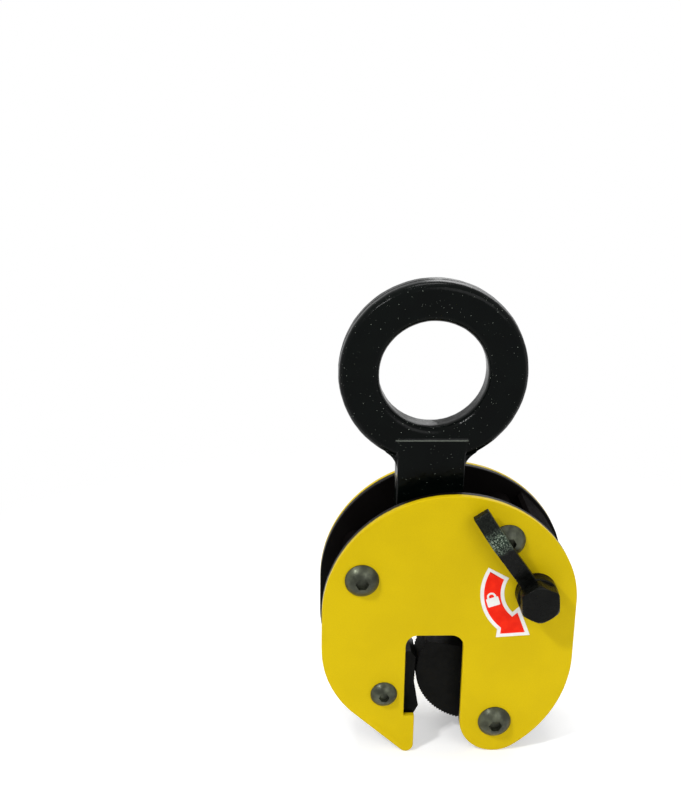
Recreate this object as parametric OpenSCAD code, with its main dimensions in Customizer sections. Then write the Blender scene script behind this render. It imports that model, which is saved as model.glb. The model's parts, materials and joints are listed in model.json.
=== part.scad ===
// Plate lifting clamp: a lifting eye pulls a toothed cam against a fixed jaw through two links.
// Origin: centre of the lifting eye. +X to the right seen from the lever side, +Y away, +Z up.
// "Body" points (x, z) are measured from the centre of the side plates' round top.
// Every in-plane angle is counted anticlockwise as seen from the lever side.

/* [Lifting eye] */
// Inside diameter of the eye
eye_bore_d = 54.5; // [46:0.5:60]
// Width of the ring between its bore and its outside
eye_band = 20.25; // [16:0.25:24]
// Thickness of the ring
eye_t = 15.5; // [12:0.5:17]
// Rounding of the ring's edges
eye_round = 4.2; // [2:0.1:5.5]
// Width of the shank
shank_w = 34.5; // [26:0.5:38]
// Thickness of the shank
shank_t = 17; // [13:0.5:18]
// Drop from the eye's centre to the shank's top ledge
shank_ledge = 35; // [30:0.5:40]
// Radius of the hollow between ring and shank
shank_hollow_r = 12; // [6:0.5:14]

/* [Side plates] */
// Thickness of each side plate
plate_t = 6; // [4:0.5:8]
// Clear gap between the side plates
plate_gap = 36; // [34:0.5:44]
// Radius of the plates' round top
plate_r = 66.8; // [62:0.2:80]
// Reach of the straight right edge from the top's centre
plate_right = 64.8; // [60:0.2:66]
// Angle where the right shoulder leaves the round top
shoulder_angle = 30; // [20:1:40]
// Height of the lower end of the straight right edge
right_edge_z = -25; // [-30:1:-10]
// Radius of the lower left corner
corner_r = 52; // [40:1:56]
// Height of the centre of the lower left corner
corner_z = -20; // [-26:1:-10]
// Drop of the feet below the top's centre
foot_drop = 82.5; // [80:0.5:90]
// Radius of the rounded nose
nose_r = 4; // [3:0.25:6]
// Drop of the eye's centre to the round top's centre
eye_height = 124.5; // [115:0.5:150]
// Sideways distance from the eye's centre to the round top's centre
eye_offset = 11.5; // [8:0.5:14]

/* [Jaw throat] */
// Left edge of the throat slot
slot_left = -23; // [-25:0.5:-21]
// Top edge of the throat slot
slot_top = -12; // [-14:0.5:-8]
// Radius of the slot's top corners
slot_r = 6.5; // [3:0.5:9]
// Right edge of the nose
nose_right = -17.3; // [-19:0.1:-17]
// Height of the step between slot and nose
nose_step_z = -60.2; // [-66:0.2:-56]

/* [Jaw] */
// Height of the fixed jaw
jaw_h = 39.5; // [34:0.5:42]
// Top edge of the fixed jaw
jaw_top = -29.6; // [-32:0.2:-27]
// Width of the jaw pad across the plates
pad_w = 20; // [16:0.5:22]
// Place of the pad's gripping face at its middle
pad_face = -16.4; // [-17.5:0.1:-16]
// Tooth spacing of pad and cam
tooth_pitch = 1.7; // [1.4:0.1:2.4]
// Tooth depth of pad and cam
tooth_depth = 0.8; // [0.5:0.1:1.2]

/* [Cam] */
// Width of the cam across the plates
cam_t = 18; // [14:0.5:18.5]
// Radius of the toothed face
cam_r = 31; // [28:0.5:31]
// Centre of the toothed face, across
cam_face_x = 15.35; // [15.35:0.05:16]
// Centre of the toothed face, up
cam_face_z = -41.5; // [-42:0.1:-41]
// Place of the cam's pivot, across
pivot_x = 25.7; // [24:0.1:27]
// Radius of the lobe of the plates around the pivot
lobe_r = 18.5; // [17:0.5:20]
// Diameter of the cam's shaft
cam_shaft_d = 16; // [14:0.5:18]
// Wall of the cam's bearing bush
bush_wall = 2; // [1.5:0.25:2.5]

/* [Links] */
// Thickness of each link
link_t = 4.5; // [3.5:0.5:5]
// Width of each link
link_w = 16; // [14:0.5:18]
// Diameter of the pin in the shank
shank_pin_d = 12; // [10:0.5:13]
// Height of the pin in the shank
shank_pin_z = 40; // [36:0.5:46]
// Diameter of the pin in the cam
cam_pin_d = 9; // [8:0.5:10]
// Distance from the cam's pivot to its link pin
cam_pin_reach = 24; // [23:0.5:26]
// Angle of the cam's link pin
cam_pin_angle = 75; // [70:1:80]
// Free play around the cam's pin in each link
link_play = 1.9; // [1.7:0.1:2.2]
// Gap between the cam and each link
link_gap = 0.5; // [0.3:0.1:0.8]

/* [Lock lever] */
// Place of the lever's axis, across
lever_x = 43; // [41:0.5:45]
// Place of the lever's axis, up
lever_z = 13.5; // [11:0.5:15]
// Angle at which the arm points at rest
lever_angle = 124; // [115:1:130]
// Reach of the arm from the axis
arm_len = 56.5; // [48:0.5:60]
// Width of the arm
arm_w = 8.6; // [7:0.2:10]
// Thickness of the arm and its eye
arm_t = 5.5; // [4:0.5:6]
// Diameter of the lever's eye
lever_eye_d = 21.4; // [19:0.2:23]
// Diameter of the lever's bolt
lever_bolt_d = 12; // [10:0.5:12]
// Width across the flats of the bolt's head
head_flats = 19; // [17:0.5:19.5]
// Height of the bolt's head
head_h = 7.8; // [6:0.2:9]
// Reach of the crank inside the housing
crank_reach = 12; // [10:0.5:13]
// Angle of the crank at rest
crank_angle = 35; // [25:1:45]
// Outside diameter of the lock spring
spring_d = 7; // [6:0.5:7.5]
// Wire of the lock spring
spring_wire = 1.2; // [0.8:0.1:1.4]

/* [Screws] */
// Thread of the large button screws
screw_d = 10; // [8:1:10]
// Thread of the small button screws
jaw_screw_d = 8; // [6:1:8]
// Outside diameter of the spacer tubes
spacer_d = 17; // [15:0.5:20]

/* [Hidden] */

$fn = 96;
fit = 0.05;              // radial running and seating clearance
side_play = 0.2;         // end clearance of a turning part
over = 1;                // how far a cutting shape runs past what it cuts
chord_len = 1.6;         // length of the chords that draw the round outlines

half_gap = plate_gap / 2;
face_y = half_gap + plate_t;
pivot_z = -foot_drop + lobe_r;
slot_right = pivot_x - lobe_r;

upper_left = [-46.5, 20.5];
upper_right = [27.2, 42.6];
lower_left = [-33.8, -46.6];
pivot = [pivot_x, pivot_z];
lever_axis = [lever_x, lever_z];
shank_pin_at = [-eye_offset, shank_pin_z];

eye_r = eye_bore_d / 2;
eye_out_r = eye_r + eye_band;

cam_pin_at = pivot + cam_pin_reach * [cos(cam_pin_angle), sin(cam_pin_angle)];
link_vector = cam_pin_at - shank_pin_at;
link_len = norm(link_vector);
link_angle = atan2(link_vector[1], link_vector[0]);
link_in = max(cam_t, shank_t) / 2 + link_gap;   // the links straddle both cam and shank
link_out = link_in + link_t;
clip_t = 1.2;
clip_wall = 2.4;
pin_end = 1;             // how far a pin stands out past its clip

hub_r = 13;
cam_eye_r = 9.5;
cam_face = [cam_face_x, cam_face_z];
cam_top_angle = 148.4;   // ends of the toothed arc about its own centre
cam_low_angle = 258;
cam_top_slope = 8;       // fall of the cam's top edge towards its pin
post_d = 5;
post_at = pivot + [13, 14.5];
post_lug_r = 5.5;
spring_slot_w = spring_d + 3;
spring_slot_r = 6.2;

crank_t = 4;
crank_gap = 1.2;         // gap between the front plate and the crank
crank_y = -half_gap + crank_gap;
crank_eye_r = 8.5;
crank_tip_r = 5;
crank_pin_d = 5;
crank_pin_at = lever_axis + crank_reach * [cos(crank_angle), sin(crank_angle)];
nut_t = 6;
nut_flats = 18;
flange_t = 1.5;
bush_out_d = lever_bolt_d + 4;
lever_base = flange_t + side_play;

// One point at an angle and a distance from another
function polar(c, r, a) = c + r * [cos(a), sin(a)];

// Places body points and puts an x-z outline upright, from one y to another
module at_body() translate([eye_offset, 0, -eye_height]) children();

module slab(y0, y1) translate([0, y1, 0]) rotate([90, 0, 0]) linear_extrude(y1 - y0) children();

module rod(at, d, y0, y1) slab(y0, y1) translate(at) circle(d = d);

module hex_2d(flats, turn) rotate(turn) circle(d = flats / cos(30), $fn = 6);

// Points along an arc; arcs are drawn with chords of about chord_len
function arc(c, r, a0, a1) = let (n = max(3, ceil(abs(a1 - a0) * PI / 180 * r / chord_len)))
    [for (i = [0:n]) polar(c, r, a0 + (a1 - a0) * i / n)];

function backwards(points) = [for (i = [len(points) - 1:-1:0]) points[i]];

// Points of a toothed line from a to b, with the teeth cut to its left
function toothed_line(a, b) = let (
        run = b - a,
        n = floor(norm(run) / tooth_pitch),
        inward = tooth_depth * [-run[1], run[0]] / norm(run)
    )
    [for (i = [0:n - 1]) each [a + run * i / n, a + run * (i + 0.5) / n + inward]];

// Points of a toothed arc, with the teeth cut towards its centre
function toothed_arc(c, r, a0, a1) = let (n = floor((a1 - a0) * PI / 180 * r / tooth_pitch))
    [for (i = [0:n - 1], half = [0, 1])
        polar(c, r - half * tooth_depth, a0 + (a1 - a0) * (i + half / 2) / n)];

// Side plates -------------------------------------------------------------------------------

shoulder_r = (plate_right - plate_r * cos(shoulder_angle)) / (1 - cos(shoulder_angle));
shoulder_c = polar([0, 0], plate_r - shoulder_r, shoulder_angle);
flank_rise = right_edge_z - pivot_z;
flank_run = plate_right - pivot_x;
flank_r = (flank_run * flank_run + flank_rise * flank_rise - lobe_r * lobe_r) / (2 * (flank_run - lobe_r));
flank_c = [plate_right - flank_r, right_edge_z];
flank_end = atan2(pivot[1] - flank_c[1], pivot[0] - flank_c[0]);
corner_c = [corner_r - plate_r, corner_z];
nose_c = [nose_right - nose_r, nose_r - foot_drop];
nose_from_corner = nose_c - corner_c;
slant = atan2(nose_from_corner[1], nose_from_corner[0])
    - acos((corner_r - nose_r) / norm(nose_from_corner));

// The right side of the outline from the round top down to an angle of the flank arc
function right_side(inset, top, low) = concat(
    arc([0, 0], plate_r - inset, top, shoulder_angle),
    arc(shoulder_c, shoulder_r - inset, shoulder_angle, 0),
    arc(flank_c, flank_r - inset, 0, low)
);

function slot_outline() = concat(
    arc([slot_right - slot_r, slot_top - slot_r], slot_r, 0, 90),
    arc([slot_left + slot_r, slot_top - slot_r], slot_r, 90, 180),
    [[slot_left, nose_step_z], [nose_right, nose_step_z]]
);

module plate_outline() polygon(concat(
    right_side(0, 180, flank_end),
    arc(pivot, lobe_r, flank_end, -180),
    slot_outline(),
    arc(nose_c, nose_r, 0, slant),
    arc(corner_c, corner_r, slant, -180)
));

module plate_2d(lever_hole) {
    difference() {
        plate_outline();
        for (at = [upper_left, upper_right, pivot]) translate(at) circle(d = screw_d + 4 * fit);
        translate(lower_left) circle(d = jaw_screw_d + 4 * fit);
        if (lever_hole) translate(lever_axis) circle(d = bush_out_d + 2 * fit);
    }
}

module front_plate() color("gold") at_body() slab(-face_y, -half_gap) plate_2d(true);

module rear_plate() color("gold") at_body() slab(half_gap, face_y) plate_2d(false);

module spacer_tubes() color("dimgray") at_body() {
    for (at = [upper_left, upper_right]) {
        slab(-half_gap, half_gap) translate(at) difference() {
            circle(d = spacer_d);
            circle(d = screw_d + 2 * fit);
        }
    }
}

guard_inset = 1.5;       // how far the guard sits inside the plates' edge
guard_t = 3;
guard_top = 52;          // angle of its upper end about the top's centre
guard_low = -13;         // angle of its lower end about the flank's centre

module side_guard() color("dimgray") at_body() slab(-half_gap, half_gap) polygon(concat(
    right_side(guard_inset, guard_top, guard_low),
    backwards(right_side(guard_inset + guard_t, guard_top, guard_low))
));

// Fixed jaw -------------------------------------------------------------------------------

jaw_low = jaw_top - jaw_h;
jaw_seat = slot_left - 1.5;   // plane where the pad meets the block
jaw_back = -52;
pad_key_h = 12;
pad_key_d = 4;
pad_mid_z = -50.4;            // height of the hollow of the gripping face
pad_lip = 2.6;                // how far the low lip stands out past the hollow
pad_lip_z = -63;
pad_screw_z = -38;
pad_screw_d = 6;
pad_head_d = 10;
pad_head_h = 6;
pad_sink_d = 11;              // bore in the block that takes the screw's head
block_top_rise = 2.5;         // how far the block's top lies above the pad's
block_low_rise = 3;           // how far its foot lies above the pad's
block_back_z = -48;           // lower end of its back face
block_foot_x = -36;           // left end of its foot

module jaw_block() color("dimgray") at_body() {
    difference() {
        slab(-half_gap, half_gap) polygon([
            [jaw_seat, jaw_top + block_top_rise], [jaw_back, jaw_top + block_top_rise],
            [jaw_back, block_back_z],
            [block_foot_x, jaw_low + block_low_rise], [jaw_seat, jaw_low + block_low_rise]
        ]);
        rod(lower_left, jaw_screw_d + 2 * fit, -half_gap - over, half_gap + over);
        translate([jaw_back - over, 0, pad_screw_z]) rotate([0, 90, 0])
            cylinder(d = pad_screw_d + 2 * fit, h = jaw_seat - jaw_back + 2 * over);
        translate([jaw_back - over, 0, pad_screw_z]) rotate([0, 90, 0])
            cylinder(d = pad_sink_d, h = over + pad_head_h + 1);
        translate([jaw_seat - pad_key_d - 0.1, -half_gap - over, pad_mid_z - pad_key_h / 2 - 0.1])
            cube([pad_key_d + over, plate_gap + 2 * over, pad_key_h + 0.2]);
    }
}

module jaw_pad() color("dimgray") at_body() {
    top = [pad_face + 0.75, jaw_top - 2.5];
    middle = [pad_face, pad_mid_z];
    lip = [pad_face + pad_lip, pad_lip_z];
    key_low = pad_mid_z - pad_key_h / 2;
    key_back = jaw_seat - pad_key_d;
    difference() {
        slab(-pad_w / 2, pad_w / 2) polygon(concat(
            [[jaw_seat, jaw_top], top + [-3, 2.5]],
            backwards(toothed_line(middle, top)),
            backwards(toothed_line(lip, middle)),
            [[pad_face - 0.2, jaw_low + 0.6], [pad_face - 1, jaw_low], [jaw_seat, jaw_low]],
            [[jaw_seat, key_low], [key_back, key_low], [key_back, key_low + pad_key_h],
                [jaw_seat, key_low + pad_key_h]]
        ));
        translate([jaw_seat - over, 0, pad_screw_z]) rotate([0, 90, 0])
            cylinder(d = pad_screw_d + 2 * fit, h = pad_head_h + over);
    }
}

module pad_screw() color("black") at_body()
    translate([jaw_back + 1, 0, pad_screw_z]) rotate([0, 90, 0]) difference() {
        union() {
            cylinder(d = pad_head_d, h = pad_head_h - fit);
            cylinder(d = pad_screw_d, h = jaw_seat - jaw_back + 4);
        }
        translate([0, 0, -over]) linear_extrude(pad_head_h / 2 + over) hex_2d(pad_head_d / 2, 0);
    }

// Screws --------------------------------------------------------------------------------

// Button head screw lying on a plate's outer face; side is -1 in front and 1 behind
module button_screw(at, d, shank, side) {
    head_d = 1.75 * d;
    head = 0.55 * d;
    rim = 0.08 * d;
    dome_r = (head_d * head_d / 4 + (head - rim) * (head - rim)) / (2 * (head - rim));
    translate([at[0], side * face_y, at[1]]) rotate([-90 * side, 0, 0]) difference() {
        union() {
            intersection() {
                cylinder(d = head_d, h = head);
                translate([0, 0, head - dome_r]) sphere(r = dome_r);
            }
            translate([0, 0, -shank]) cylinder(d = d, h = shank + head / 2);
        }
        translate([0, 0, head - 0.32 * d]) linear_extrude(d) hex_2d(0.6 * d, 0);
    }
}

screw_len = plate_t + 12;

module plate_screws_front() color("black") at_body() {
    for (at = [upper_left, upper_right, pivot]) button_screw(at, screw_d, screw_len, -1);
}

module plate_screws_rear() color("black") at_body() {
    for (at = [upper_left, upper_right, pivot]) button_screw(at, screw_d, screw_len, 1);
}

module jaw_screws() color("black") at_body() {
    for (side = [-1, 1]) button_screw(lower_left, jaw_screw_d, screw_len, side);
}

// Cam shaft ----------------------------------------------------------------------------

module cam_shaft() color("silver") at_body() difference() {
    rod(pivot, cam_shaft_d, -half_gap, half_gap);
    for (side = [-1, 1]) rod(pivot, screw_d + 2 * fit, side * half_gap - 14, side * half_gap + 14);
}

module cam_spacers() color("dimgray") at_body() for (side = [-1, 1]) {
    inner = cam_t / 2 + side_play;
    outer = half_gap - side_play;
    slab(side > 0 ? inner : -outer, side > 0 ? outer : -inner) translate(pivot) difference() {
        circle(d = cam_shaft_d + 2 * (bush_wall + 2));
        circle(d = cam_shaft_d + 2 * fit);
    }
}

// Lever bush and label --------------------------------------------------------------------

module lever_bush() color("darkgoldenrod") at_body() difference() {
    union() {
        rod(lever_axis, bush_out_d, -face_y - flange_t / 2, -half_gap - 0.1);
        rod(lever_axis, lever_eye_d, -face_y - flange_t, -face_y);
    }
    rod(lever_axis, lever_bolt_d + 2 * fit, -face_y - flange_t - over, -half_gap + over);
}

label_t = 0.25;
label_in_r = 16.3;
label_out_r = 28.6;
label_tail = 151;        // angles of the arrow's tail, neck and point
label_head = 229;
label_tip = 266.5;

module arrow_label() color("red") at_body() slab(-face_y - label_t, -face_y) translate(lever_axis)
    polygon(concat(
        arc([0, 0], label_out_r, label_tail, label_head),
        [polar([0, 0], 32.6, 234), polar([0, 0], 25.2, label_tip), polar([0, 0], 11.8, 227)],
        arc([0, 0], label_in_r, label_head - 3, label_tail)
    ));

// Lifting eye -------------------------------------------------------------------------------

// Section of the ring: a rectangle with round corners, in the x-y plane of rotate_extrude
module ring_section() {
    half = eye_t / 2;
    for (r = [eye_r + eye_round, eye_out_r - eye_round], s = [-1, 1])
        translate([r, s * (half - eye_round)]) circle(r = eye_round);
    translate([eye_r, eye_round - half]) square([eye_band, eye_t - 2 * eye_round]);
    translate([eye_r + eye_round, -half]) square([eye_band - 2 * eye_round, eye_t]);
}

hollow_out = eye_out_r + shank_hollow_r;
hollow_x = shank_w / 2 + shank_hollow_r;
hollow_z = -sqrt(hollow_out * hollow_out - hollow_x * hollow_x);
shank_foot_z = shank_pin_z - eye_height;

// The web that fills the corner between ring and shank down to the hollow
module neck_2d() {
    ring_x = hollow_x * eye_out_r / hollow_out;
    ring_z = hollow_z * eye_out_r / hollow_out;
    difference() {
        polygon([[-ring_x, ring_z], [0, -eye_r - 2 * eye_round], [ring_x, ring_z],
            [shank_w / 2, hollow_z], [-shank_w / 2, hollow_z]]);
        for (s = [-1, 1]) translate([s * hollow_x, hollow_z]) circle(r = shank_hollow_r);
    }
}

module lifting_eye() color("black") {
    difference() {
        union() {
            rotate([90, 0, 0]) rotate_extrude() ring_section();
            slab(1.2 - eye_t / 2, eye_t / 2 - 1.2) neck_2d();
            slab(-shank_t / 2, shank_t / 2) {
                translate([-shank_w / 2, shank_foot_z]) square([shank_w, -shank_ledge - shank_foot_z]);
                translate([0, shank_foot_z]) circle(d = shank_w);
            }
        }
        rod([0, shank_foot_z], shank_pin_d + 2 * fit, -shank_t, shank_t);
    }
}

// Pins, clips and links -----------------------------------------------------------------

module clip_pair(at, d) {
    inner = link_out + side_play;
    for (y = [-inner - clip_t, inner]) slab(y, y + clip_t) translate(at) difference() {
        circle(d = d + 2 * clip_wall);
        circle(d = d + 2 * fit);
        translate([-d / 4, -d - clip_wall]) square([d / 2, d + clip_wall]);
    }
}

pin_half = link_out + side_play + clip_t + pin_end;

module shank_pin() color("silver") at_body() rod(shank_pin_at, shank_pin_d, -pin_half, pin_half);

module shank_pin_clips() color("dimgray") at_body() clip_pair(shank_pin_at, shank_pin_d);

// A flat link lying from the shank's pin down to the cam's pin
module link(y0) {
    slab(y0, y0 + link_t) translate(shank_pin_at) rotate(link_angle) difference() {
        union() {
            circle(d = link_w + 4);
            translate([link_len, 0]) circle(d = link_w + 4);
            translate([0, -link_w / 2]) square([link_len, link_w]);
        }
        circle(d = shank_pin_d + 2 * fit);
        translate([link_len, 0]) circle(d = cam_pin_d + 2 * link_play);
    }
}

module link_front() color("dimgray") at_body() link(-link_out);

module link_rear() color("dimgray") at_body() link(link_in);

// Cam ----------------------------------------------------------------------------------

module cam_2d() difference() {
    polygon(concat(
        toothed_arc(cam_face, cam_r, cam_top_angle, cam_low_angle),
        arc(pivot, hub_r, -100, -5),
        arc(post_at, post_lug_r, -20, 40),
        arc(cam_pin_at, cam_eye_r, 0, 90 - cam_top_slope),
        [polar(cam_face, cam_r, cam_top_angle - 2.5)]
    ));
    translate(pivot) circle(d = cam_shaft_d + 2 * (bush_wall + fit));
    translate(cam_pin_at) circle(d = cam_pin_d + 2 * fit);
    translate(post_at) circle(d = post_d + 2 * fit);
}

// The slot that lets the lock spring down to its post
module spring_slot() {
    mouth_z = cam_pin_at[1] + cam_eye_r + over;
    slab(-spring_slot_w / 2, spring_slot_w / 2) {
        translate(post_at) circle(r = spring_slot_r);
        polygon([
            post_at + [-1.8, 4], [cam_pin_at[0] + cam_pin_d / 2 + 1, mouth_z],
            [post_at[0] + 12, mouth_z], post_at + [12, 0]
        ]);
    }
}

module cam() color("dimgray") at_body() difference() {
    slab(-cam_t / 2, cam_t / 2) cam_2d();
    spring_slot();
}

module cam_bush() color("darkgoldenrod") at_body() slab(-cam_t / 2, cam_t / 2) translate(pivot)
    difference() {
        circle(d = cam_shaft_d + 2 * bush_wall);
        circle(d = cam_shaft_d + 2 * fit);
    }

module cam_pin() color("silver") at_body() rod(cam_pin_at, cam_pin_d, -pin_half, pin_half);

module cam_pin_clips() color("dimgray") at_body() clip_pair(cam_pin_at, cam_pin_d);

module spring_post() color("silver") at_body() rod(post_at, post_d, -cam_t / 2, cam_t / 2);

// Lock spring: a close wound body with a round loop at each end ---------------------------------

spring_loop_r = post_d / 2 + spring_wire / 2 + 0.15;
spring_vector = crank_pin_at - post_at;
spring_span = norm(spring_vector);
spring_body = 0.55;      // share of the span that is wound

module loop(dist) translate([0, 0, dist]) rotate([90, 0, 0]) rotate_extrude()
    translate([spring_loop_r, 0]) circle(d = spring_wire, $fn = 24);

module lock_spring() color("silver") at_body() translate([post_at[0], 0, post_at[1]])
    rotate([0, 90 - atan2(spring_vector[1], spring_vector[0]), 0]) {
        wound = spring_span * spring_body;
        start = (spring_span - wound) / 2;
        difference() {
            union() {
                translate([0, 0, start]) cylinder(d = spring_d, h = wound);
                translate([0, 0, spring_loop_r])
                    cylinder(d = spring_wire, h = spring_span - 2 * spring_loop_r);
            }
            translate([0, 0, start + spring_wire])
                cylinder(d = spring_d - 2 * spring_wire, h = wound - 2 * spring_wire);
        }
        loop(0);
        loop(spring_span);
    }

// Lock lever ------------------------------------------------------------------------------

module lock_lever() color("black") at_body() translate([lever_axis[0], -face_y, lever_axis[1]]) {
    low = lever_base;
    rise = 5.4;          // lift of the arm over the screw head beside it
    root = lever_bolt_d / 2 + 2;
    difference() {
        union() {
            translate([0, -low, 0]) rotate([90, 0, 0]) cylinder(d = lever_eye_d, h = arm_t);
            rotate([0, -lever_angle, 0]) translate([0, 0, -arm_w / 2]) linear_extrude(arm_w) polygon([
                [root, -low - 0.3], [14, -low - 0.5], [30, -low - rise + 0.5], [42, -low - rise - 0.5],
                [arm_len, -low - rise + 2.6], [arm_len, -low - rise + 2.6 - arm_t * 0.85],
                [44, -low - rise - 0.5 - arm_t], [38, -low - rise - 0.4 - arm_t],
                [14, -low - arm_t - 0.2], [root, -low - arm_t + 0.3]
            ]);
        }
        rotate([90, 0, 0]) cylinder(d = lever_bolt_d + 2 * fit, h = arm_t + low + over);
    }
}

module lever_bolt() color("black") at_body() {
    head_y = -face_y - lever_base - arm_t;
    end_y = crank_y + crank_t + nut_t + 1;
    rod(lever_axis, lever_bolt_d, head_y - head_h / 2, end_y);
    intersection() {
        slab(head_y - head_h, head_y) translate(lever_axis) hex_2d(head_flats, lever_angle + 30);
        translate([lever_axis[0], head_y + 5.2, lever_axis[1]]) sphere(r = 16);
        rod(lever_axis, head_flats + 2, head_y - head_h, head_y);
    }
}

module lever_crank() color("dimgray") at_body() slab(crank_y, crank_y + crank_t) difference() {
    union() {
        translate(lever_axis) circle(r = crank_eye_r);
        translate(crank_pin_at) circle(r = crank_tip_r);
        translate(lever_axis) rotate(crank_angle)
            translate([0, -crank_tip_r]) square([crank_reach, 2 * crank_tip_r]);
    }
    translate(lever_axis) circle(d = lever_bolt_d + 2 * fit);
    translate(crank_pin_at) circle(d = crank_pin_d + 2 * fit);
}

crank_pin_tip = spring_d / 2 + 1.5;

module crank_pin() color("silver") at_body()
    rod(crank_pin_at, crank_pin_d, crank_y, crank_pin_tip + clip_t + pin_end);

module crank_pin_clip() color("dimgray") at_body() slab(crank_pin_tip, crank_pin_tip + clip_t)
    translate(crank_pin_at) difference() {
        circle(d = crank_pin_d + 3.6);
        circle(d = crank_pin_d + 2 * fit);
        translate([-crank_pin_d / 4, -crank_pin_d - 2]) square([crank_pin_d / 2, crank_pin_d + 2]);
    }

module lever_nut() color("silver") at_body() slab(crank_y + crank_t, crank_y + crank_t + nut_t)
    translate(lever_axis) difference() {
        hex_2d(nut_flats, 0);
        circle(d = lever_bolt_d + 2 * fit);
    }

front_plate();
rear_plate();
spacer_tubes();
side_guard();
jaw_block();
jaw_pad();
pad_screw();
plate_screws_front();
plate_screws_rear();
jaw_screws();
cam_shaft();
cam_spacers();
lever_bush();
arrow_label();
lifting_eye();
shank_pin();
shank_pin_clips();
link_front();
link_rear();
cam();
cam_bush();
cam_pin();
cam_pin_clips();
spring_post();
lock_spring();
lock_lever();
lever_bolt();
lever_crank();
crank_pin();
crank_pin_clip();
lever_nut();
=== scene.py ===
import json
import math

import bmesh
import bpy
from mathutils import Matrix, Vector, noise


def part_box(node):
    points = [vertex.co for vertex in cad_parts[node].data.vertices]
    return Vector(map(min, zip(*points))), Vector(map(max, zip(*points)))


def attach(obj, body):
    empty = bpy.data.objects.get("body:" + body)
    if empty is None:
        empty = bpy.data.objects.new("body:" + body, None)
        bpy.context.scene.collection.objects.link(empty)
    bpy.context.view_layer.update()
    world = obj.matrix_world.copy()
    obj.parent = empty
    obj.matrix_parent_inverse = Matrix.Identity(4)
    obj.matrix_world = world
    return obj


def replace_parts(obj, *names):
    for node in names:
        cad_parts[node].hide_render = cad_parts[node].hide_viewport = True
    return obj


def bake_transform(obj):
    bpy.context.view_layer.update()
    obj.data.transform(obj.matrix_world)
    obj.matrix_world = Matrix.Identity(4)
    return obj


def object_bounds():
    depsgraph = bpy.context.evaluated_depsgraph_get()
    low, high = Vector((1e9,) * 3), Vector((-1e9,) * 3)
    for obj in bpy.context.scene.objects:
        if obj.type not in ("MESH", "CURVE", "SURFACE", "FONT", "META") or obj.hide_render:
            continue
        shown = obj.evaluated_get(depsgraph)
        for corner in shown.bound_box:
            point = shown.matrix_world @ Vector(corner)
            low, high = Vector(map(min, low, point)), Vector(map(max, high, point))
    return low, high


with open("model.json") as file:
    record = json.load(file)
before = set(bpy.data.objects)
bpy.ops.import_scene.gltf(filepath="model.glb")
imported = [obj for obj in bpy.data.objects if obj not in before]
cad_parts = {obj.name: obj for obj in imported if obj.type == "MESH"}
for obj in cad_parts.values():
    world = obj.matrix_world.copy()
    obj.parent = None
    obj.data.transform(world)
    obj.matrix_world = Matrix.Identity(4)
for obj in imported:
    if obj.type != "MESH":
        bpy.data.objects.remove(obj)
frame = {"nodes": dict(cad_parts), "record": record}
cad_low, cad_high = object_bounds()
nodes = frame["nodes"]
MM = 0.001
BACKDROP_RAYS = ("Is Camera Ray", "Is Glossy Ray", "Is Transmission Ray")

# Places on the clamp, in the row frame, that the materials follow
LEDGE_Z = -0.0340          # top edge of the ledge on the shank
LEVER_AXIS = (0.0545, -0.111)
LEVER_ANGLE = math.radians(124)


def centre(node):
    low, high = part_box(node)
    return (low + high) / 2


# ---------------------------------------------------------------- camera
def aim(yaw, pitch, roll):
    y, e, r = math.radians(yaw), math.radians(pitch), math.radians(roll)
    forward = Vector((math.sin(y) * math.cos(e), math.cos(y) * math.cos(e), -math.sin(e)))
    right = Vector((math.cos(y), -math.sin(y), 0))
    up = right.cross(forward)
    r2 = math.cos(r) * right + math.sin(r) * up
    u2 = math.cos(r) * up - math.sin(r) * right
    return Matrix((r2, u2, -forward)).transposed()


camera = bpy.data.objects.new("camera", bpy.data.cameras.new("camera"))
bpy.context.scene.collection.objects.link(camera)
camera.data.lens = 54
camera.data.sensor_width = 36
camera.data.sensor_fit = "AUTO"
camera.data.clip_start = 0.01
camera.matrix_world = Matrix.Translation((-0.0677, -0.569, 0.1851)) @ aim(2.17, 19.37, 0.70).to_4x4()
bpy.context.scene.camera = camera
bpy.context.scene.view_settings.view_transform = "Standard"


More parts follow.
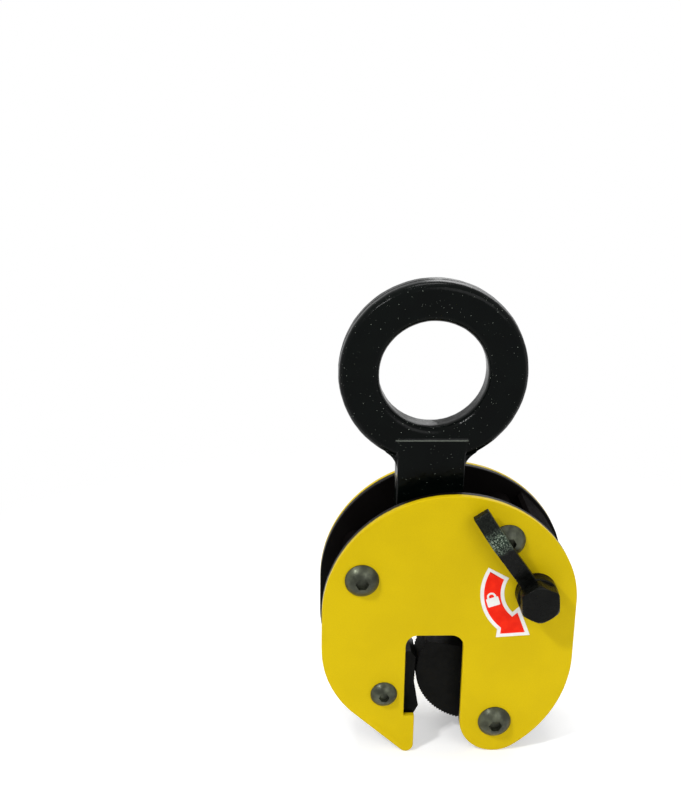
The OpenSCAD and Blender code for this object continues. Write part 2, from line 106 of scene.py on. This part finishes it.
# ---------------------------------------------------------------- materials
class Paint:
    """A procedural material around one Principled shader. Object coordinates are metres in the row frame."""

    def __init__(self, name, metal=0.0, spec=0.5):
        self.mat = bpy.data.materials.new(name)
        self.mat.use_nodes = True
        self.tree = self.mat.node_tree
        self.tree.nodes.clear()
        self.shader = self.node("ShaderNodeBsdfPrincipled")
        out = self.node("ShaderNodeOutputMaterial")
        self.tree.links.new(self.shader.outputs[0], out.inputs[0])
        self.place = self.node("ShaderNodeTexCoord").outputs["Object"]
        self.shader.inputs["Metallic"].default_value = metal
        self.shader.inputs["Specular IOR Level"].default_value = spec
        self.normal = None

    def node(self, kind):
        return self.tree.nodes.new(kind)

    def put(self, socket, value):
        if isinstance(value, bpy.types.NodeSocket):
            self.tree.links.new(value, socket)
        elif isinstance(value, tuple) and len(value) == 3 and len(socket.default_value) == 4:
            socket.default_value = (*value, 1)
        else:
            socket.default_value = value

    def noise(self, scale, detail=3.0, rough=0.55, stretch=None):
        place = self.place
        if stretch:
            m = self.node("ShaderNodeMapping")
            self.put(m.inputs["Vector"], place)
            m.inputs["Scale"].default_value = stretch
            place = m.outputs[0]
        n = self.node("ShaderNodeTexNoise")
        self.put(n.inputs["Vector"], place)
        n.inputs["Scale"].default_value = scale
        n.inputs["Detail"].default_value = detail
        n.inputs["Roughness"].default_value = rough
        return n.outputs["Fac"]

    def axis(self, which):
        s = self.node("ShaderNodeSeparateXYZ")
        self.put(s.inputs[0], self.place)
        return s.outputs[which]

    def math(self, kind, a, b=0.0):
        m = self.node("ShaderNodeMath")
        m.operation = kind
        self.put(m.inputs[0], a)
        self.put(m.inputs[1], b)
        return m.outputs[0]

    def step(self, value, low, high, out_low=0.0, out_high=1.0):
        m = self.node("ShaderNodeMapRange")
        m.interpolation_type = "SMOOTHSTEP"
        for key, v in (("Value", value), ("From Min", low), ("From Max", high),
                       ("To Min", out_low), ("To Max", out_high)):
            self.put(m.inputs[key], v)
        return m.outputs[0]

    def blend(self, share, a, b):
        m = self.node("ShaderNodeMix")
        m.data_type = "RGBA"
        self.put(m.inputs[0], share)
        self.put(m.inputs[6], a)
        self.put(m.inputs[7], b)
        return m.outputs[2]

    def bump(self, height, strength, distance):
        b = self.node("ShaderNodeBump")
        b.inputs["Strength"].default_value = strength
        b.inputs["Distance"].default_value = distance
        self.put(b.inputs["Height"], height)
        if self.normal is not None:
            self.put(b.inputs["Normal"], self.normal)
        self.normal = b.outputs[0]
        self.put(self.shader.inputs["Normal"], self.normal)

    def colour(self, value):
        self.put(self.shader.inputs["Base Color"], value)

    def rough(self, value):
        self.put(self.shader.inputs["Roughness"], value)


def yellow_paint():
    p = Paint("yellow_paint", spec=0.06)
    cloud = p.step(p.noise(28, 4), 0.3, 0.7)
    grain = p.step(p.noise(1500, 2), 0.35, 0.65)
    coat = p.blend(cloud, (0.64, 0.465, 0.003), (0.69, 0.505, 0.003))
    coat = p.blend(p.math("MULTIPLY", grain, 0.16), coat, (0.50, 0.34, 0.008))
    ragged = p.math("ADD", p.math("ABSOLUTE", p.axis(1)), p.math("MULTIPLY", p.noise(300, 3), 0.0009))
    outside = p.step(ragged, 0.0212, 0.0222)
    p.colour(p.blend(outside, (0.0030, 0.0024, 0.0022), coat))
    p.rough(p.step(p.noise(60, 3), 0.3, 0.7, 0.36, 0.46))
    p.bump(p.noise(1100, 2), 0.10, 0.0002)
    p.bump(p.noise(240, 2), 0.06, 0.0006)
    return p.mat


def forged_black():
    p = Paint("forged_black", spec=0.075)
    # Bright grey specks painted into the colour: partly dust, partly painted glints.
    dust_and_glint_specks = p.step(p.noise(1300, 1, 0.4), 0.745, 0.775)
    dull = p.step(p.noise(70, 4), 0.35, 0.7)
    base = p.blend(dull, (0.0005, 0.0012, 0.0010), (0.0010, 0.0021, 0.0017))
    # A band of light grey specks along the ledge's top edge: a painted highlight, not wear.
    up = p.math("ABSOLUTE", p.math("SUBTRACT", p.axis(2), LEDGE_Z))
    lip = p.math("MULTIPLY", p.step(up, 0.0001, 0.0006, 1.0, 0.0),
                 p.step(p.math("ABSOLUTE", p.axis(0)), 0.0180, 0.0188, 1.0, 0.0))
    ledge_highlight = p.math("MULTIPLY", lip, p.step(p.noise(5200, 1, 0.4), 0.25, 0.75, 0.45, 1.0))
    p.colour(p.blend(p.math("MAXIMUM", p.math("MULTIPLY", dust_and_glint_specks, 0.6), p.math("MULTIPLY", ledge_highlight, 0.40)),
                     base, (0.36, 0.40, 0.34)))
    p.rough(p.step(p.noise(500, 3), 0.3, 0.7, 0.16, 0.25))
    p.bump(p.noise(1300, 3, 0.6), 0.12, 0.0004)
    p.bump(p.noise(260, 3), 0.10, 0.0008)
    return p.mat


def black_paint():
    p = Paint("black_paint", spec=0.01)
    p.colour(p.blend(p.step(p.noise(120, 4), 0.35, 0.7), (0.0020, 0.0016, 0.0016), (0.0045, 0.0036, 0.0034)))
    p.rough(p.step(p.noise(400, 2), 0.3, 0.7, 0.70, 0.85))
    p.bump(p.noise(900, 2), 0.15, 0.0003)
    return p.mat


def dark_steel():
    p = Paint("dark_steel", spec=0.06)
    scale = p.step(p.noise(180, 5, 0.65), 0.30, 0.75)
    p.colour(p.blend(scale, (0.0028, 0.0030, 0.0026), (0.0055, 0.0056, 0.0048)))
    p.rough(p.step(p.noise(420, 3), 0.3, 0.7, 0.34, 0.55))
    p.bump(p.noise(800, 4, 0.6), 0.25, 0.0003)
    return p.mat


def black_oxide():
    p = Paint("black_oxide", metal=0.55, spec=0.4)
    warm = p.step(p.noise(160, 4), 0.35, 0.7)
    p.colour(p.blend(warm, (0.028, 0.031, 0.020), (0.080, 0.088, 0.058)))
    p.rough(p.step(p.noise(700, 3), 0.3, 0.7, 0.30, 0.44))
    p.bump(p.noise(1800, 2), 0.12, 0.0002)
    return p.mat


def lever_black():
    p = Paint("lever_black", spec=0.08)
    x = p.math("SUBTRACT", p.axis(0), LEVER_AXIS[0])
    z = p.math("SUBTRACT", p.axis(2), LEVER_AXIS[1])
    along = p.math("ADD", p.math("MULTIPLY", x, math.cos(LEVER_ANGLE)),
                   p.math("MULTIPLY", z, math.sin(LEVER_ANGLE)))
    fuzzy = p.math("ADD", along, p.math("MULTIPLY", p.math("SUBTRACT", p.noise(230, 4), 0.5), 0.010))
    # A band across the arm at the bend, painted pale green-grey with fine sparkle: a painted highlight where
    # the bend faces the light.
    bend_highlight = p.math("MULTIPLY", p.step(fuzzy, 0.033, 0.039), p.step(fuzzy, 0.040, 0.049, 1.0, 0.06))
    highlight_sparkle = p.step(p.noise(1500, 4, 0.7), 0.48, 0.68)
    dark = p.blend(p.step(p.noise(140, 4), 0.35, 0.7), (0.0018, 0.0020, 0.0017), (0.0042, 0.0046, 0.0038))
    light = p.blend(highlight_sparkle, (0.016, 0.026, 0.018), (0.42, 0.52, 0.40))
    p.colour(p.blend(bend_highlight, dark, light))
    p.rough(p.step(p.noise(600, 3), 0.3, 0.7, 0.22, 0.38))
    p.bump(p.noise(700, 4, 0.6), 0.16, 0.0004)
    return p.mat


def turned(name, low, high, rough):
    p = Paint(name, metal=1.0)
    p.colour(p.blend(p.step(p.noise(300, 4), 0.3, 0.7), low, high))
    p.rough(p.step(p.noise(900, 2, stretch=(1, 12, 1)), 0.3, 0.7, rough, rough + 0.14))
    p.bump(p.noise(1200, 2, stretch=(1, 14, 1)), 0.15, 0.0002)
    return p.mat


def vinyl(name, low, high):
    p = Paint(name, spec=0.10)
    p.colour(p.blend(p.step(p.noise(260, 4), 0.3, 0.7), low, high))
    p.rough(p.step(p.noise(500, 3), 0.3, 0.7, 0.30, 0.42))
    p.bump(p.noise(420, 2), 0.08, 0.0003)
    return p.mat


def collar_brown():
    p = Paint("collar_brown", spec=0.07)
    p.colour(p.blend(p.step(p.noise(240, 4), 0.3, 0.7), (0.006, 0.004, 0.0035), (0.014, 0.009, 0.007)))
    p.rough(p.step(p.noise(600, 3), 0.3, 0.7, 0.35, 0.5))
    p.bump(p.noise(1200, 2), 0.15, 0.0002)
    return p.mat


finish = {
    "yellow_paint": yellow_paint(),
    "forged_black": forged_black(),
    "black_paint": black_paint(),
    "dark_steel": dark_steel(),
    "black_oxide": black_oxide(),
    "lever_black": lever_black(),
    "bright_steel": turned("bright_steel", (0.42, 0.42, 0.43), (0.58, 0.58, 0.59), 0.22),
    "zinc_steel": turned("zinc_steel", (0.46, 0.47, 0.48), (0.66, 0.67, 0.68), 0.28),
    "spring_steel": turned("spring_steel", (0.30, 0.30, 0.31), (0.46, 0.46, 0.47), 0.26),
    "bronze": turned("bronze", (0.20, 0.13, 0.06), (0.36, 0.24, 0.11), 0.34),
    "label_vinyl": vinyl("label_white", (0.84, 0.83, 0.80), (0.90, 0.89, 0.87)),
}
collar = collar_brown()
label_red = vinyl("label_red", (0.86, 0.014, 0.002), (0.95, 0.024, 0.004))

for part in frame["record"]["subparts"]:
    node = nodes[part["node"]]
    node.data.materials.clear()
    is_bush = part["node"] == "lever_bush"
    node.data.materials.append(collar if is_bush else finish[part["material_slot"]])


# ---------------------------------------------------------------- softened edges of the CAD pieces
def ease(node, width, segments=2):
    o = nodes[node]
    weld = o.modifiers.new("weld", "WELD")
    weld.merge_threshold = 2e-6
    flat = o.modifiers.new("flat", "DECIMATE")
    flat.decimate_type = "DISSOLVE"
    flat.angle_limit = math.radians(0.5)
    bevel = o.modifiers.new("edge", "BEVEL")
    bevel.width = width
    bevel.segments = segments
    bevel.limit_method = "ANGLE"
    bevel.angle_limit = math.radians(35)
    bevel.loop_slide = False
    bevel.harden_normals = True


for name in ("front_plate", "rear_plate"):
    ease(name, 0.5 * MM)
ease("lever_bolt", 0.45 * MM)
ease("jaw_block", 0.4 * MM)
ease("side_guard", 0.3 * MM)


# ---------------------------------------------------------------- pieces built here
def add(name, mesh, body, material):
    o = bpy.data.objects.new(name, mesh)
    bpy.context.scene.collection.objects.link(o)
    mesh.materials.clear()
    mesh.materials.append(material)
    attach(o, body)
    return o


def forged_copy(node, voxel, passes):
    """The node's shape as a new, evenly divided mesh with softened edges."""
    o = bpy.data.objects.new("work", nodes[node].data.copy())
    bpy.context.scene.collection.objects.link(o)
    weld = o.modifiers.new("weld", "WELD")
    weld.merge_threshold = 2e-6
    grid = o.modifiers.new("grid", "REMESH")
    grid.mode = "VOXEL"
    grid.voxel_size = voxel
    soft = o.modifiers.new("soft", "SMOOTH")
    soft.factor = 0.5
    soft.iterations = passes
    bpy.context.view_layer.update()
    done = o.evaluated_get(bpy.context.evaluated_depsgraph_get())
    mesh = bpy.data.meshes.new_from_object(done)
    bpy.data.objects.remove(o)
    return mesh


def shift(mesh, rule):
    """Moves each point of the mesh to rule(point, normal)."""
    normals = [v.normal.copy() for v in mesh.vertices]
    for v, n in zip(mesh.vertices, normals):
        v.co = rule(v.co.copy(), n)
    for p in mesh.polygons:
        p.use_smooth = True
    mesh.update()


def skin(point, size, seed):
    """Smooth unevenness from -1 to 1, as wide as size."""
    return noise.noise(point / size + Vector((seed, 2 * seed, 3 * seed)))


eye_low, eye_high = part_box("lifting_eye")


def within(p, low, high):
    for i in range(3):
        p[i] = min(max(p[i], low[i]), high[i])
    return p


def eye_rule(p, n):
    """Forged skin, the parting line round the rim, the ledge's lip, and draft across the shank."""
    move = 0.10 * MM * skin(p, 0.006, 1.0) + 0.05 * MM * skin(p, 0.0022, 4.0)
    on_rim = abs(n.y) < 0.8 and math.hypot(p.x, p.z) > 0.038
    if on_rim:
        move += 0.28 * MM * math.exp(-((p.y / (0.55 * MM)) ** 2)) - 0.12 * MM
    on_ledge = abs(n.y) > 0.4 and abs(p.x) < 0.0186 and abs(p.y) > 0.006
    if on_ledge:
        move += 0.6 * MM * math.exp(-(((p.z - LEDGE_Z) / (0.7 * MM)) ** 2))
    q = p + n * move
    down = min(1.0, max(0.0, (-0.036 - p.z) / 0.020))
    q.y *= 1 - 0.035 * down * min(1.0, abs(p.x) / 0.017) ** 2
    return within(q, eye_low, eye_high)


eye_mesh = forged_copy("lifting_eye", 0.55 * MM, 5)
shift(eye_mesh, eye_rule)
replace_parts(add("eye_forging", eye_mesh, "shackle", finish["forged_black"]), "lifting_eye")

lever_low, lever_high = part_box("lock_lever")


def lever_rule(p, n):
    move = 0.08 * MM * skin(p, 0.003, 7.0) + 0.04 * MM * skin(p, 0.0012, 9.0)
    return within(p + n * move, lever_low, lever_high)


lever_mesh = forged_copy("lock_lever", 0.32 * MM, 9)
shift(lever_mesh, lever_rule)
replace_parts(add("lever_bar", lever_mesh, "lever", finish["lever_black"]), "lock_lever")


# The lock spring: close coils and a loop at each end, wound from the cam's post to the crank's pin
def tube(points, radius, sides=10):
    """A closed round tube along the points."""
    bm = bmesh.new()
    rings = []
    side = None
    for i, p in enumerate(points):
        along = (points[min(i + 1, len(points) - 1)] - points[max(i - 1, 0)]).normalized()
        if side is None:
            side = along.orthogonal().normalized()
        side = (side - along * side.dot(along)).normalized()
        other = along.cross(side)
        rings.append([bm.verts.new(p + radius * (math.cos(a) * side + math.sin(a) * other))
                      for a in (2 * math.pi * k / sides for k in range(sides))])
    for a, b in zip(rings, rings[1:]):
        for k in range(sides):
            bm.faces.new((a[k], a[(k + 1) % sides], b[(k + 1) % sides], b[k]))
    bm.faces.new(list(reversed(rings[0])))
    bm.faces.new(rings[-1])
    bmesh.ops.recalc_face_normals(bm, faces=bm.faces)
    mesh = bpy.data.meshes.new("tube")
    bm.to_mesh(mesh)
    bm.free()
    for p in mesh.polygons:
        p.use_smooth = True
    return mesh


post, pin = centre("spring_post"), centre("crank_pin")
post.y = pin.y = 0
axis = (pin - post).normalized()
across = Vector((0, 1, 0))
third = axis.cross(across)
span = (pin - post).length
wire, coil_r, hook_r = 0.6 * MM, 2.9 * MM, 3.2 * MM
wound = 0.55 * span
turns = 14
first = (span - wound) / 2
steps = 16                 # points in one turn


def hook(at, start):
    return [at + hook_r * (math.cos(a) * third - math.sin(a) * axis)
            for a in (math.radians(start + 300 * i / 28) for i in range(29))]


def coils(start, end):
    return [post + axis * (first + wound * i / (turns * steps))
            + coil_r * (math.cos(2 * math.pi * i / steps) * third
                        + math.sin(2 * math.pi * i / steps) * across)
            for i in range(start, end)]


halfway = turns * steps // 2
waist = post + axis * span / 2
lower_points = hook(post, -60) + coils(0, halfway + 1)
upper_points = coils(halfway, turns * steps + 1) + hook(pin, 120)
for name, points, a, b, start, end in (
        ("spring_lower", lower_points, "toothed_cam", "housing", post + axis * hook_r, waist),
        ("spring_upper", upper_points, "housing", "lever", waist, pin - axis * hook_r)):
    half = bpy.data.objects.new(name, tube(points, wire))
    bpy.context.scene.collection.objects.link(half)
    half.data.materials.append(finish["spring_steel"])
    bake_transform(half)
    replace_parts(half, "lock_spring")


# The label's red print and a padlock pictogram
def sheet_mesh(outline, y0, y1):
    """A flat sheet between two depths, with an outline in X and Z."""
    bm = bmesh.new()
    front = [bm.verts.new((x, y0, z)) for x, z in outline]
    back = [bm.verts.new((x, y1, z)) for x, z in outline]
    bm.faces.new(front)
    bm.faces.new(list(reversed(back)))
    for i in range(len(outline)):
        j = (i + 1) % len(outline)
        bm.faces.new((front[i], back[i], back[j], front[j]))
    bmesh.ops.recalc_face_normals(bm, faces=bm.faces)
    bmesh.ops.triangulate(bm, faces=bm.faces)
    mesh = bpy.data.meshes.new("sheet")
    bm.to_mesh(mesh)
    bm.free()
    return mesh


def inset(points, amount):
    """The outline moved inwards by amount, with its corners kept."""
    area = sum(a[0] * b[1] - b[0] * a[1] for a, b in zip(points, points[1:] + points[:1]))
    sign = 1 if area > 0 else -1
    out = []
    for i, p in enumerate(points):
        a, b = Vector(points[i - 1]), Vector(points[(i + 1) % len(points)])
        d1, d2 = (Vector(p) - a).normalized(), (b - Vector(p)).normalized()
        n1, n2 = Vector((-d1.y, d1.x)) * sign, Vector((-d2.y, d2.x)) * sign
        mid = (n1 + n2).normalized()
        out.append(tuple(Vector(p) + mid * amount / max(0.35, mid.dot(n1))))
    return out


bolt = centre("lever_bolt")


def around(r, degrees):
    """A point on the plate, r millimetres from the lever's axis."""
    a = math.radians(degrees)
    return (bolt.x + r * MM * math.cos(a), bolt.z + r * MM * math.sin(a))


outline = [around(28.6, 151 + 78 * i / 24) for i in range(25)]
outline += [around(32.6, 234), around(25.2, 266.5), around(11.8, 227)]
outline += [around(16.3, 226 - 75 * i / 24) for i in range(25)]
label_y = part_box("arrow_label")[0].y
red_sheet = sheet_mesh(inset(outline, 1.9 * MM), label_y - 0.04 * MM, label_y + 0.02 * MM)
add("label_print", red_sheet, "housing", label_red)


def padlock(cx, cz, turn, size):
    """The outlines of a generic padlock's body and shackle."""
    def at(u, v):
        c, s = math.cos(turn), math.sin(turn)
        return (cx + size * (u * c - v * s), cz + size * (u * s + v * c))

    def arc(r, angles):
        return [at(r * math.cos(math.radians(a)), 1.3 + r * math.sin(math.radians(a))) for a in angles]

    corners = ((-2.4, -2.6), (-2.1, -2.9), (2.1, -2.9), (2.4, -2.6),
               (2.4, 0.5), (2.1, 0.8), (-2.1, 0.8), (-2.4, 0.5))
    body = [at(u, v) for u, v in corners]
    arch = [at(1.75, 0.7)] + arc(1.75, range(0, 181, 15)) + [at(-1.75, 0.7), at(-0.95, 0.7)]
    arch += arc(0.95, range(180, -1, -15)) + [at(0.95, 0.7)]
    return body, arch


lock_at = around(22.6, 191)
for label, shape in zip(("padlock_body", "padlock_arch"), padlock(*lock_at, math.radians(18), 1.35 * MM)):
    sheet = sheet_mesh(shape, label_y - 0.07 * MM, label_y - 0.03 * MM)
    add(label, sheet, "housing", finish["label_vinyl"])


# ---------------------------------------------------------------- floor, world and lamps
def rays(tree, kinds):
    """1 for a ray of any of these kinds, else 0."""
    path_node = tree.nodes.new("ShaderNodeLightPath")
    total = None
    for k in kinds:
        if total is None:
            total = path_node.outputs[k]
            continue
        m = tree.nodes.new("ShaderNodeMath")
        m.operation = "MAXIMUM"
        tree.links.new(total, m.inputs[0])
        tree.links.new(path_node.outputs[k], m.inputs[1])
        total = m.outputs[0]
    return total


# The floor goes from a soft shadow near the clamp to plain white further out
floor_mesh = sheet_mesh([(-6, -14), (6, -14), (6, 0.25), (-6, 0.25)], -0.01, 0.0)
floor = bpy.data.objects.new("floor", floor_mesh)
bpy.context.scene.collection.objects.link(floor)
floor.rotation_euler = (math.radians(90), 0, 0)
floor.location = (0, 0, cad_low[2] - 0.0002)
ground = bpy.data.materials.new("floor")
ground.use_nodes = True
gt = ground.node_tree
gt.nodes.clear()
diffuse = gt.nodes.new("ShaderNodeBsdfDiffuse")
diffuse.inputs[0].default_value = (0.86, 0.86, 0.86, 1)
glow = gt.nodes.new("ShaderNodeEmission")
lift = gt.nodes.new("ShaderNodeMath")
lift.operation = "MULTIPLY"
lift.inputs[1].default_value = 0.35
gt.links.new(rays(gt, BACKDROP_RAYS), lift.inputs[0])
gt.links.new(lift.outputs[0], glow.inputs[1])
both = gt.nodes.new("ShaderNodeAddShader")
gt.links.new(diffuse.outputs[0], both.inputs[0])
gt.links.new(glow.outputs[0], both.inputs[1])
white = gt.nodes.new("ShaderNodeEmission")
spot = gt.nodes.new("ShaderNodeTexCoord")
reach = gt.nodes.new("ShaderNodeVectorMath")
reach.operation = "LENGTH"
gt.links.new(spot.outputs["Object"], reach.inputs[0])
far = gt.nodes.new("ShaderNodeMapRange")
far.interpolation_type = "SMOOTHSTEP"
far.inputs["From Min"].default_value = 0.16
far.inputs["From Max"].default_value = 0.42
gt.links.new(reach.outputs["Value"], far.inputs["Value"])
seen = gt.nodes.new("ShaderNodeMath")
seen.operation = "MULTIPLY"
gt.links.new(far.outputs[0], seen.inputs[0])
gt.links.new(rays(gt, BACKDROP_RAYS), seen.inputs[1])
pick = gt.nodes.new("ShaderNodeMixShader")
gt.links.new(seen.outputs[0], pick.inputs[0])
gt.links.new(both.outputs[0], pick.inputs[1])
gt.links.new(white.outputs[0], pick.inputs[2])
gt.links.new(pick.outputs[0], gt.nodes.new("ShaderNodeOutputMaterial").inputs[0])
floor_mesh.materials.append(ground)

world = bpy.data.worlds.new("world")
bpy.context.scene.world = world
world.use_nodes = True
wt = world.node_tree
sky = wt.nodes["Background"]
sky.inputs[0].default_value = (1, 1, 1, 1)
level = wt.nodes.new("ShaderNodeMapRange")
level.inputs["To Min"].default_value = 0.45
level.inputs["To Max"].default_value = 1.0
wt.links.new(rays(wt, BACKDROP_RAYS), level.inputs[0])
wt.links.new(level.outputs[0], sky.inputs[1])


def lamp(name, place, target, size, power):
    data = bpy.data.lights.new(name, "AREA")
    data.shape = "RECTANGLE"
    data.size, data.size_y = size
    data.energy = power
    o = bpy.data.objects.new(name, data)
    bpy.context.scene.collection.objects.link(o)
    o.location = place
    o.rotation_euler = (Vector(target) - Vector(place)).to_track_quat("-Z", "Y").to_euler()


middle = (0.01, 0, -0.08)
lamp("key", (-0.72, -0.60, 0.80), middle, (0.13, 0.11), 8.0)
lamp("fill", (0.55, -1.15, 0.55), middle, (0.9, 0.7), 6.0)
lamp("back", (0.5, 1.2, 0.6), middle, (0.9, 0.7), 5.0)
lamp("top", (0.0, 0.15, 1.1), middle, (0.5, 0.3), 5.0)
